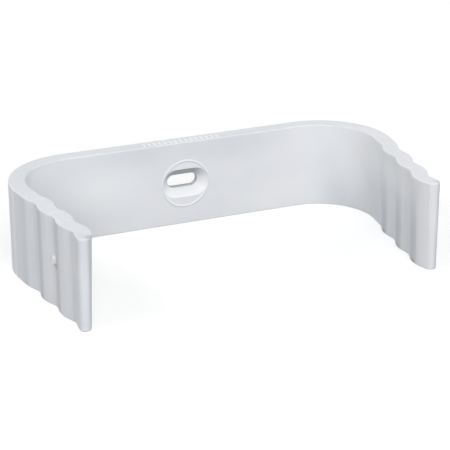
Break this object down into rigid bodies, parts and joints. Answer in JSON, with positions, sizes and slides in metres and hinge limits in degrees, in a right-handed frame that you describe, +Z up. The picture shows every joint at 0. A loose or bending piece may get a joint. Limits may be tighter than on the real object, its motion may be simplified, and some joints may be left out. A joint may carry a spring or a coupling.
{
  "type": "downspout band",
  "caption": "U-shaped moulded plastic strap with fluted springy legs that snaps round a rectangular downspout and is screwed to the wall through a countersunk slot.",
  "frame": {"origin": "middle of the screw slot, on the flat face that lies on the wall, at half the band's height", "axes": "+X along the back, +Y into the wall, +Z up; the legs reach towards -Y and the band stands on its lower rim"},
  "size_m": [0.0914, 0.0505, 0.0206],
  "materials": {
    "pvc": "smooth white PVC as it comes from the mould, with a low sheen"
  },
  "bodies": {
    "root": {"downspout_band": "pvc"}
  },
  "joints": []
}
